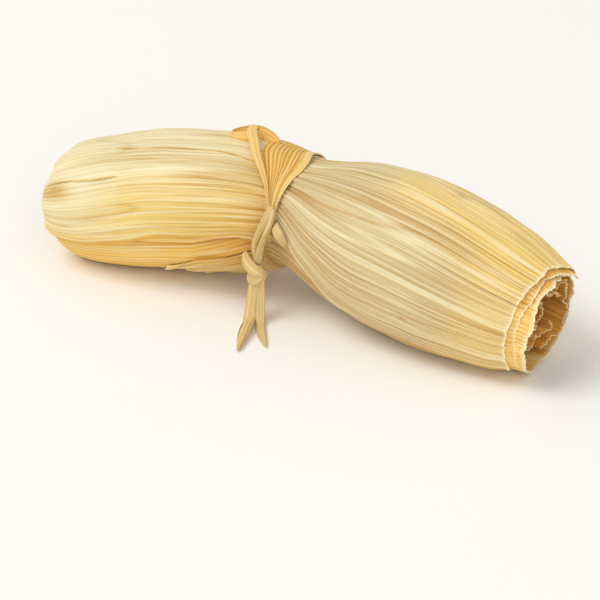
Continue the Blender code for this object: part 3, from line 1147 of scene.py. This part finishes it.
@dataclass
class OpenHalf:
    """The open half: its wide ribbed leaves and the husks rolled up in its mouth."""

    front_lift: float = 2.5
    roll_spiral: float = 0.88
    roll_crumple: float = 0.15

    def leaves(self) -> list[Leaf]:
        """The husks of this half.

        Returns:
            Leaves from the inside out.
        """
        lift = self.front_lift
        frill = Relief(rib_depth=0.2, fold_depth=0.2, gather_depth=0.3, teeth_depth=0.5,
                       teeth_pitch=1.9)
        front = Leaf(
            "right_front_leaf", ("right_front_husk",), Tone.PALE, 1, lift,
            (-58, 64), (-62, 121), (-62, 128), -3.0, (103.5, 103.5),
            fan=0.5, power=1.9, seed=59, rows=470, curl=(0.0, 0.5), rag=0.45, end_lift=(0.5, -1.0),
            relief=Relief(rib_pitch=1.8, rib_depth=0.27, fold_depth=0.42, fold_pitch=5.0,
                          gather_depth=0.7, gather_pitch=3.4, gather_reach=24.0, teeth_depth=0.3),
        )
        return [
            Leaf("right_inner_leaf", ("right_inner_husk",), Tone.GOLD, 1, 0.4,
                 (-164, 192), (-164, 200), (-164, 200), -3.0, (107.0, 107.0),
                 seed=41, rows=460, columns=60, rag=0.7, sunk=(1.0, 14.0), relief=frill, slant=3.5),
            Leaf("right_under_leaf", ("right_under_husk",), Tone.UNDER, 1, 1.7,
                 (60, 208), (70, 216), (84, 216), -3.0, (99.0, 99.0),
                 seed=43, rows=380, columns=90, tuck=(0.5, 0.4),
                 relief=Relief(rib_pitch=1.5, rib_depth=0.2, fold_depth=0.5, gather_depth=0.8,
                               gather_pitch=3.6)),
            Leaf("right_back_leaf", ("right_back_husk",), Tone.STRAW, 1, 1.2,
                 (205, 318), (205, 322), (205, 322), -3.0, (103.0, 105.0),
                 slant=1.0, seed=47, rows=240, columns=90, relief=Relief(teeth_depth=0.4)),
            Leaf("right_second_leaf", (), Tone.GOLD, 1, 1.6,
                 (-56, 60), (-56, 118), (-60, 128), 54.0, (106.0, 106.8),
                 fan=0.2, seed=53, rows=400, columns=60, sunk=(0.6, 86.0), rag=0.6,
                 end_lift=(0.4, -1.4), relief=frill),
            front,
            Leaf("right_top_leaf", ("right_top_husk",), Tone.PALE, 1, lift + 0.5,
                 (-50, -12), (-58, 20), (-58, 50), -3.0, (104.4, 104.0),
                 seed=61, rows=400, curl=(0.0, 0.15), edge_shade=0.1, tuck=(0.0, 0.85), tuck_end=58.0,
                 guide=front, guide_share=0.61),
        ]

    def rolls(self) -> list[Leaf]:
        """The husks rolled up in the mouth.

        Returns:
            Leaves from the outer roll inwards.
        """
        relief = Relief(rib_depth=0.2, fold_depth=0.4, gather_depth=0.0, teeth_depth=0.9,
                        teeth_pitch=3.2)
        sizes = (
            ("outer", (-170, 110), 81.0, (104.0, 103.0), 0.86, 71, 300),
            ("middle", (-60, 240), 83.0, (103.5, 102.0), 0.64, 73, 240),
            ("inner", (40, 330), 84.5, (101.5, 100.0), 0.38, 79, 160),
        )
        return [
            Leaf(f"roll_{name}", (f"rolled_husk_{name}",), Tone.INSIDE, 1, 0.0,
                 edges, edges, edges, start, reach, scale=scale, seed=seed, rows=rows, columns=40,
                 fan=0.5, rag=0.9, crumple=self.roll_crumple, spiral=self.roll_spiral, warm=0.25,
                 rim=0.5, depth_shade=0.55, relief=relief)
            for name, edges, start, reach, scale, seed, rows in sizes
        ]

    def build(self, shop: Workshop) -> None:
        """Makes all its leaves."""
        for leaf in self.leaves() + self.rolls():
            leaf.build(shop)


@dataclass
class Fold:
    """A strip of husk along a path through space, ribbed along its length."""

    name: str
    widths: tuple[float, ...]
    tone: Tone
    columns: int = 130
    rows: int = 36
    thickness: float = 0.4
    crown: float = 0.25
    rib_pitch: float = 0.9
    rib_depth: float = 0.14
    seed: int = 1
    warm: float = 0.0

    def surface(self, points: Array, side: Array, u: Array, v: Array) -> Sheet:
        """The strip's shape.

        Args:
            points: what its middle line passes through, in millimetres.
            side: the direction that its width lies in.
            u: share of the way along the path.
            v: share of the way across.

        Returns:
            Places, UV, attributes and outside points.
        """
        here, run = curve_through(points, u), heading_along(points, u)
        across = unit(side - run * (run @ side)[:, None])
        face = np.cross(run, across)
        half = curve_through(np.array(self.widths)[:, None], u)[:, 0]
        widest = 2 * max(self.widths)
        ripple = Ripple(self.seed)
        arch = ridge(v * widest / self.rib_pitch + ripple(v * 5.0, 2.0) * 0.4, 0.7)
        relief = self.rib_depth * (arch - 0.5) + self.crown * (1.0 - (2 * v - 1) ** 2)
        relief += 0.15 * ripple(u * 7.0, v * 2.0)
        place = here + across * ((2 * v - 1) * half)[:, None] + face * relief[:, None]
        place = above_ground(place)
        zero = np.zeros_like(u)
        return {
            "place": place,
            "out": place + face * OUTSIDE,
            "uv": np.stack([u * path_length(points), v * widest], axis=-1),
            # Painted shade in the rib valleys.
            "valley": np.clip((1.0 - arch) ** 1.5 * 0.8, 0.0, 1.0),
            "warm": zero + 0.5 + self.warm,
            "rim": zero,
        }

    def build(self, shop: Workshop, points: Array, side: Array) -> bpy.types.Object:
        """Makes the strip's piece.

        Args:
            shop: the workshop.
            points: what its middle line passes through, in millimetres.
            side: the direction that its width lies in.

        Returns:
            The piece.
        """
        web = Web(self.columns, self.rows, self.thickness)
        made = web.build(lambda u, v: self.surface(points, side, u, v))
        return shop.finish(self.name, made, self.tone)


def unit(rows: Array) -> Array:
    """Rows of vectors made one unit long."""
    return rows / (np.linalg.norm(rows, axis=-1, keepdims=True) + 1e-9)


def curve_through(points: Array, t: Array) -> Array:
    """Smooth curve through rows of points, t running from 0 at the first to 1 at the last."""
    keys = np.linspace(0.0, 1.0, len(points))
    return np.stack([smooth_through(keys, column, t) for column in points.T], axis=-1)


def heading_along(points: Array, t: Array) -> Array:
    """Unit vectors along the smooth curve through points."""
    ahead = curve_through(points, np.minimum(t + NEAR, 1.0))
    return unit(ahead - curve_through(points, np.maximum(t - NEAR, 0.0)))


def path_length(points: Array) -> float:
    """Length of the smooth curve through points."""
    steps = np.diff(curve_through(points, np.linspace(0.0, 1.0, 60)), axis=0)
    return float(np.linalg.norm(steps, axis=1).sum())


def smooth_through(keys: Array, values: Array, t: Array) -> Array:
    """Smooth curve through values at keys.

    Args:
        keys: rising places of the values.
        values: what the curve passes through.
        t: where it is read.

    Returns:
        The curve's values at t.
    """
    slopes = np.gradient(values, keys)
    i = np.clip(np.searchsorted(keys, t, side="right") - 1, 0, len(keys) - 2)
    span = keys[i + 1] - keys[i]
    x = (t - keys[i]) / span
    return (
        (2 * x**3 - 3 * x**2 + 1) * values[i]
        + (x**3 - 2 * x**2 + x) * slopes[i] * span
        + (3 * x**2 - 2 * x**3) * values[i + 1]
        + (x**3 - x**2) * slopes[i + 1] * span
    )


@dataclass
class Band:
    """The tie's main run: a pleated fan over the top, narrow at the front, back and belly.

    Edges are rows of (theta, s of the left edge, s of the right edge).
    """

    edges: tuple[tuple[float, float, float], ...] = (
        (78.0, 2.4, 4.6),
        (66.0, 0.6, 4.7),
        (52.0, -1.8, 5.2),
        (36.0, -4.6, 6.2),
        (20.0, -7.6, 6.9),
        (4.0, -10.2, 6.2),
        (-20.0, -11.0, 3.5),
        (-50.0, -10.4, 2.7),
        (-85.0, -7.4, 2.4),
        (-120.0, -4.6, 1.2),
        (-160.0, -3.0, 1.4),
        (-200.0, -4.6, -1.2),
        (-250.0, -5.6, -2.6),
    )
    lift: float = 2.6
    right_lift: float = 2.1
    pleats: float = 11.0
    pleat_depth: float = 0.6
    border: float = 0.8
    border_blend: float = 0.06
    crown: float = 0.35
    girth: float = 23.0
    thickness: float = 0.45
    columns: int = 260
    rows: int = 100

    def surface(self, spine: Spine, u: Array, v: Array) -> Sheet:
        """The band's shape.

        Args:
            spine: the bundle's line.
            u: share of the way round.
            v: share of the way across.

        Returns:
            Places, UV, attributes and outside points.
        """
        rows = np.array(self.edges)
        theta = lerp(rows[0, 0], rows[-1, 0], u)
        keys = (rows[0, 0] - rows[:, 0]) / (rows[0, 0] - rows[-1, 0])
        left, right = (smooth_through(keys, rows[:, c], u) for c in (1, 2))
        widest = float((rows[:, 2] - rows[:, 1]).max())
        spread = np.clip((right - left) / widest, 0.0, 1.0)
        s = lerp(left, right, v)
        ripple = Ripple(401)
        pleat = ridge(v * self.pleats + ripple(v * 4.0, 1.0) * 0.35, 0.7)
        fine = ridge(v * self.pleats * 3.0 + 0.4 + ripple(v * 9.0, 3.0), 0.7)
        border = ease((v - self.border) / self.border_blend)
        depth = self.pleat_depth * (0.35 + 0.65 * spread) * (1.0 - border)
        height = lerp(self.lift, self.right_lift, v) + self.crown * (1.0 - (2 * v - 1) ** 2)
        height += 0.4 * border
        height += depth * (pleat - 0.5) + 0.14 * (fine - 0.5) + 0.25 * ripple(theta / 18.0, v * 2.5)
        # Painted shade in the pleats and the fine ribs.
        valley = (1.0 - pleat) ** 1.4 * (1.0 - border) + 0.55 * (1.0 - fine) ** 1.5
        return {
            "place": spine.skin(s, theta, height),
            "out": spine.skin(s, theta, height + OUTSIDE),
            "uv": np.stack([-np.radians(theta) * self.girth, v * widest], axis=-1),
            "valley": np.clip(valley, 0.0, 1.0),
            "warm": 0.2 + 0.5 * spread * (1.0 - 0.6 * border),
            "rim": np.zeros_like(u),
        }

    def build(self, shop: Workshop) -> bpy.types.Object:
        """Makes the band's piece, which stands for the CAD tie.

        Args:
            shop: the workshop.

        Returns:
            The piece.
        """
        web = Web(self.columns, self.rows, self.thickness)
        made = web.build(lambda u, v: self.surface(shop.spine, u, v))
        return shop.finish("tie_band", made, Tone.TIE_GOLD, ("husk_tie",))


@dataclass
class Strand:
    """A twisted strand of the tie: a flattened tube through points, with its fibres wound round."""

    name: str
    widths: tuple[float, ...]
    flat: float = 0.6
    twist: float = 1.0
    turn: float = 0.0
    tone: Tone = Tone.TIE
    grooves: int = 15
    groove_depth: float = 0.2
    seed: int = 1
    segments: int = 96
    rings: int = 110
    cap_power: int = 24
    warm: float = 0.45

    def build(self, shop: Workshop, places: Array, outward: Array) -> bpy.types.Object:
        """Makes the strand.

        Args:
            shop: the workshop.
            places: the strand's points in millimetres.
            outward: the direction its flat side faces.

        Returns:
            The piece.
        """
        made = bmesh.new()
        bmesh.ops.create_uvsphere(made, u_segments=self.segments, v_segments=self.rings, radius=1.0)
        ball = np.array([vert.co[:] for vert in made.verts])
        t = np.arccos(np.clip(-ball[:, 2], -1.0, 1.0)) / math.pi
        around = np.arctan2(ball[:, 1], ball[:, 0])
        here, run = curve_through(places, t), heading_along(places, t)
        side = unit(np.cross(run, outward))
        face = np.cross(side, run)
        roll = math.radians(self.turn) + self.twist * math.tau * t
        across = side * np.cos(roll)[:, None] + face * np.sin(roll)[:, None]
        through = face * np.cos(roll)[:, None] - side * np.sin(roll)[:, None]
        wobble = Ripple(self.seed + 600)
        groove = around * self.grooves / 2 + 0.8 * wobble(t * 5.0, np.cos(around) + 7.0)
        groove = np.abs(np.sin(groove)) ** 0.6
        cap = np.sqrt(np.clip(1.0 - (2 * t - 1) ** self.cap_power, 0.0, 1.0))
        half = curve_through(np.array(self.widths)[:, None], t)[:, 0] * cap
        radius = half + self.groove_depth * (groove - 0.5) * cap
        place = here + across * (np.cos(around) * radius)[:, None]
        place += through * (np.sin(around) * radius * self.flat)[:, None]
        place = above_ground(place)
        valley, warm, rim = (made.verts.layers.float.new(key) for key in FACTORS)
        for i, vert in enumerate(made.verts):
            vert.co = place[i] * MM
            # Painted shade in the grooves between the twisted fibres.
            vert[valley] = float((1.0 - groove[i]) ** 1.5)
            vert[warm] = self.warm
            vert[rim] = 0.0
        self.lay_fibres(made, t * path_length(places), around / math.tau % 1.0)
        bmesh.ops.recalc_face_normals(made, faces=made.faces)
        return shop.finish(self.name, made, self.tone)

    def lay_fibres(self, made: bmesh.types.BMesh, along: Array, share: Array) -> None:
        """Gives the strand its UV map.

        Args:
            made: the strand's mesh.
            along: each vertex's millimetres along the strand.
            share: each vertex's share of the way round it.
        """
        uv = made.loops.layers.uv.new("fibre")
        girth = math.pi * 2 * max(self.widths)
        for face in made.faces:
            turns = [share[loop.vert.index] for loop in face.loops]
            wraps = max(turns) - min(turns) > 0.5
            for loop, turn in zip(face.loops, turns):
                turn = turn + 1.0 if wraps and turn < 0.5 else turn
                loop[uv].uv = (along[loop.vert.index] / UV_UNIT, turn * girth / UV_UNIT)


@dataclass
class Tie:
    """The husk strip round the waist: band, loop, strip, twisted strands, knot and loose tails."""

    knot_s: float = -2.8
    knot_theta: float = 106.0
    knot_lift: float = 6.8
    knot_drop: float = 5.4
    loop_s: float = -14.0
    loop_theta: float = -12.0
    loop_lift: float = 1.4
    tail_rest: float = 0.9

    @staticmethod
    def at(shop: Workshop, *rows: tuple[float, float, float]) -> Array:
        """Points in millimetres of places (s, theta, height)."""
        return shop.spine.skin(*np.array(rows).T)

    def build(self, shop: Workshop) -> None:
        """Makes all of the tie.

        Args:
            shop: the workshop.
        """
        Band().build(shop)
        self.build_loop(shop)
        self.build_knot(shop)
        self.build_tails(shop)
        self.build_strands(shop)

    def build_strands(self, shop: Workshop) -> None:
        """Makes the two strands from the band to the knot, and the short end tucked beside them.

        Args:
            shop: the workshop.
        """
        outward = shop.spine.spokes(np.array([4.0]), np.array([82.0]))[0]
        knot = self.knot_frame(shop)[0] + np.array([0.0, 0.0, 3.0])
        left = ((3.2, 62.0, 3.6), (2.6, 74.0, 4.6), (-0.2, 85.0, 5.4), (-3.6, 96.0, 6.4))
        right = ((4.2, 64.0, 3.8), (5.2, 76.0, 4.9), (3.6, 87.0, 5.6), (1.0, 98.0, 6.8))
        tuck = ((6.4, 76.0, 2.8), (8.6, 79.0, 4.2), (11.4, 83.0, 4.4), (14.0, 90.0, 3.0))
        strands = (
            ("tie_strand_left", (1.1, 1.5, 1.7, 1.6, 1.4), 0.35, 1, left, [knot]),
            ("tie_strand_right", (1.0, 1.4, 1.5, 1.5, 1.3), -0.4, 2, right, [knot]),
            ("tie_tuck", (0.9, 1.5, 1.6, 0.9), 0.2, 3, tuck, []),
        )
        for name, widths, twist, seed, route, last in strands:
            strand = Strand(name, widths, twist=twist, seed=seed)
            strand.build(shop, np.vstack([self.at(shop, *route), *last]), outward)

    def knot_frame(self, shop: Workshop) -> tuple[Array, Array, Array, Array]:
        """Where the knot sits.

        Args:
            shop: the workshop.

        Returns:
            Its middle, and its outward, sideways and downward directions.
        """
        s, theta = np.array([self.knot_s]), np.array([self.knot_theta])
        middle = shop.spine.skin(s, theta, self.knot_lift)[0] - np.array([0.0, 0.0, self.knot_drop])
        out = shop.spine.spokes(s, theta - 18.0)[0]
        side = shop.spine.direction(s)[0]
        down = np.cross(side, out)
        return middle, out, side, down if down[2] < 0 else -down

    def build_knot(self, shop: Workshop) -> None:
        """Makes the knot: a lump, a strip wound round it and a strip laid across it.

        Args:
            shop: the workshop.
        """
        middle, out, side, down = self.knot_frame(shop)
        basis = np.stack([side, down, out])
        turns = (
            ("tie_knot_core", (1.9, 2.7, 2.2), 0.85, 25, 5,
             ((0.0, -2.6, -0.5), (0.0, 0.8, 0.8), (0.0, 4.4, -0.2))),
            ("tie_knot_upper", (1.4, 2.0, 2.1, 1.9, 1.2), 0.4, 21, 6,
             ((-6.0, -5.4, -1.6), (-3.4, -3.4, 1.4), (-0.2, -1.7, 2.7), (2.3, -0.1, 2.0),
              (3.2, 1.6, -0.6))),
            ("tie_knot_lower", (1.2, 1.9, 2.1, 1.9, 1.2), 0.5, 21, 4,
             ((2.8, -0.3, -0.4), (1.8, 1.6, 2.0), (-0.5, 2.7, 2.6), (-2.3, 2.1, 1.4),
              (-2.9, 0.8, -0.4))),
        )
        for name, widths, flat, grooves, seed, route in turns:
            strand = Strand(name, widths, flat=flat, twist=0.1, grooves=grooves, seed=seed)
            strand.build(shop, middle + np.array(route) @ basis, out)

    def build_tails(self, shop: Workshop) -> None:
        """Makes the two loose ends that drop from the knot and lie forward on the ground.

        Args:
            shop: the workshop.
        """
        middle, out, side, _ = self.knot_frame(shop)
        forward, sideways = unit(out * (1.0, 1.0, 0.0)), unit(side * (1.0, 1.0, 0.0))
        down = -99.0           # lies on the ground
        routes = (
            ("tie_tail_wide", (1.7, 2.1, 2.5, 2.7, 0.5), 0.3, -12.0, 7,
             ((0.5, -0.4, 1.5), (2.4, -0.6, -7.0), (6.0, 0.2, -15.0), (15.0, 3.0, down),
              (28.0, 7.2, down))),
            ("tie_tail_thin", (1.1, 1.3, 1.5, 1.4, 0.4), 0.4, 20.0, 8,
             ((0.5, 1.8, 1.5), (2.6, 2.8, -7.0), (6.6, 4.6, -15.0), (13.5, 8.6, down),
              (21.0, 14.4, down))),
        )
        face = out * 0.8 + np.array([0.0, 0.0, 0.6])
        for name, widths, flat, turn, seed, route in routes:
            ahead, aside, drop = np.array(route).T
            points = middle + forward * ahead[:, None] + sideways * aside[:, None]
            points[:, 2] = np.maximum(middle[2] + drop, self.tail_rest)
            tail = Strand(name, widths, flat, 0.0, turn, grooves=17, seed=seed, rings=140)
            tail.build(shop, points, face)

    def build_loop(self, shop: Workshop) -> None:
        """Makes the loop that stands on edge on the waist, and the strip drawn down from it.

        Args:
            shop: the workshop.
        """
        s, theta = np.array([self.loop_s]), np.array([self.loop_theta])
        base = shop.spine.skin(s, theta, self.loop_lift)[0]
        up, along = shop.spine.spokes(s, theta)[0], shop.spine.direction(s)[0]
        basis = np.stack([along, np.cross(up, along), up])
        ring = ((5.4, 0.8, -2.0), (4.4, 2.4, -0.4), (1.6, 3.4, 1.5), (-2.4, 3.6, 2.9),
                (-6.4, 2.8, 3.0), (-9.8, 1.4, 2.7), (-10.4, -0.5, 2.4), (-6.8, -1.8, 2.3),
                (-1.5, -1.8, 2.5))
        loop = Fold("tie_loop", (2.6, 3.2, 3.3, 3.2, 2.7, 2.0, 1.6, 2.4, 2.8), Tone.TIE_GOLD,
                    rows=44, seed=503, warm=0.15, crown=0.5)
        loop.build(shop, base + np.array(ring) @ basis, basis[2] * 0.9 + basis[1] * 0.35)
        over = base + np.array(((-2.0, 2.8, 4.6), (-2.4, 0.6, 6.2), (-2.2, -1.8, 5.2))) @ basis
        down = self.at(shop, (-13.2, 6.0, 5.4), (-10.6, 18.0, 5.0), (-7.0, 31.0, 4.8),
                       (-3.6, 43.0, 4.5), (-0.6, 54.0, 4.2), (1.8, 64.0, 3.6))
        strip = Fold("tie_front_strip", (1.3, 1.7, 1.8, 1.7, 1.5, 1.2, 0.8, 0.5, 0.35),
                     Tone.TIE_GOLD, rows=30, seed=501, crown=0.4, warm=-0.12)
        strip.build(shop, np.vstack([over, down]), along)


@dataclass
class Core:
    """The filled bundle inside the husks, seen only through gaps."""

    dark: Colour = linear(204, 166, 94)
    light: Colour = linear(228, 196, 126)
    grains: float = 260.0
    grain_depth: float = 0.0004

    def build(self) -> None:
        """Dresses the CAD bundle."""
        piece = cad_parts["filled_bundle"]
        made = bpy.data.materials.new("dough")
        n = Nodes(made)
        place = n.add("ShaderNodeTexCoord").outputs["Object"]
        grain = n.noise(place, self.grains, 4.0, 0.6)
        colour = n.mix(grain, self.dark, self.light)
        depth = self.grain_depth
        relief = n.add("ShaderNodeBump", None, Strength=0.6, Distance=depth, Height=grain)
        looks = {"Base_Color": colour, "Roughness": 0.7, "Normal": relief.outputs[0]}
        shader = n.add("ShaderNodeBsdfPrincipled", None, **looks)
        n.add("ShaderNodeOutputMaterial", None, Surface=shader.outputs[0])
        piece.data.materials.clear()
        piece.data.materials.append(made)
        LOG.info("dressed filled_bundle")


@dataclass
class Studio:
    """Pale floor, soft light and the camera."""

    azimuth: float = 30.0
    elevation: float = 27.0
    distance: float = 1.0
    lens: float = 172.0
    sensor: float = 36.0
    target: tuple[float, float, float] = (-0.003, -0.002, 0.024)
    shift: tuple[float, float] = (0.035, -0.09)
    sky: float = 0.60
    sky_colour: Colour = (1.0, 0.985, 0.95)
    key: float = 0.36
    fill: float = 0.10
    lamp_colour: Colour = (1.0, 0.985, 0.955)
    floor_size: float = 6.0
    floor_colour: Colour = (0.975, 0.965, 0.95)

    def build(self) -> None:
        """Makes the stage, the lights and the camera."""
        scene = bpy.context.scene
        scene.view_settings.view_transform = "Standard"
        self.build_floor()
        world = bpy.data.worlds.new("studio")
        scene.world = world
        world.use_nodes = True
        background = world.node_tree.nodes["Background"]
        background.inputs[0].default_value = (*self.sky_colour, 1.0)
        background.inputs[1].default_value = self.sky
        self.add_light("key", (-2.0, -1.8, 4.0), 2.8, self.key)
        self.add_light("fill", (2.6, -3.4, 2.6), 3.0, self.fill)
        self.add_camera(scene)

    def build_floor(self) -> None:
        """Makes the floor."""
        made = bmesh.new()
        bmesh.ops.create_grid(made, x_segments=1, y_segments=1, size=self.floor_size / 2)
        mesh = bpy.data.meshes.new("floor")
        made.to_mesh(mesh)
        made.free()
        material = bpy.data.materials.new("floor")
        n = Nodes(material)
        looks = {"Base_Color": self.floor_colour, "Roughness": 0.9}
        shader = n.add("ShaderNodeBsdfPrincipled", None, **looks)
        n.add("ShaderNodeOutputMaterial", None, Surface=shader.outputs[0])
        mesh.materials.append(material)
        floor = bpy.data.objects.new("floor", mesh)
        bpy.context.scene.collection.objects.link(floor)

    def add_light(
        self, name: str, place: tuple[float, float, float], size: float, level: float
    ) -> None:
        """Adds a square soft light aimed at the tamale.

        Args:
            name: the light's name.
            place: where it hangs, in metres.
            size: its side, in metres.
            level: how bright it makes a white floor, 1 being full white.
        """
        offset = Vector(place)
        lamp = bpy.data.lights.new(name, "AREA")
        lamp.size = size
        lamp.energy = level * math.pi**2 * offset.length**3 / offset.z
        lamp.color = self.lamp_colour
        light = bpy.data.objects.new(name, lamp)
        light.location = offset
        light.rotation_euler = offset.to_track_quat("Z", "Y").to_euler()
        bpy.context.scene.collection.objects.link(light)

    def add_camera(self, scene: bpy.types.Scene) -> None:
        """Adds the camera.

        Args:
            scene: the scene that looks through it.
        """
        camera = bpy.data.objects.new("camera", bpy.data.cameras.new("camera"))
        turn, lift = math.radians(self.azimuth), math.radians(self.elevation)
        level = math.cos(lift)
        back = Vector((math.sin(turn) * level, -math.cos(turn) * level, math.sin(lift)))
        camera.location = Vector(self.target) + back * self.distance
        camera.rotation_euler = back.to_track_quat("Z", "Y").to_euler()
        camera.data.lens = self.lens
        camera.data.sensor_width = self.sensor
        camera.data.shift_x, camera.data.shift_y = self.shift
        camera.data.clip_start = 0.01
        scene.collection.objects.link(camera)
        scene.camera = camera


def main() -> None:
    """Builds the tamale and its studio in order."""
    logging.basicConfig(level=logging.INFO, format="%(name)s: %(message)s")
    shop = Workshop()
    Core().build()
    FoldedHalf().build(shop)
    OpenHalf().build(shop)
    Tie().build(shop)
    Studio().build()


if __name__ == "__main__":
    main()
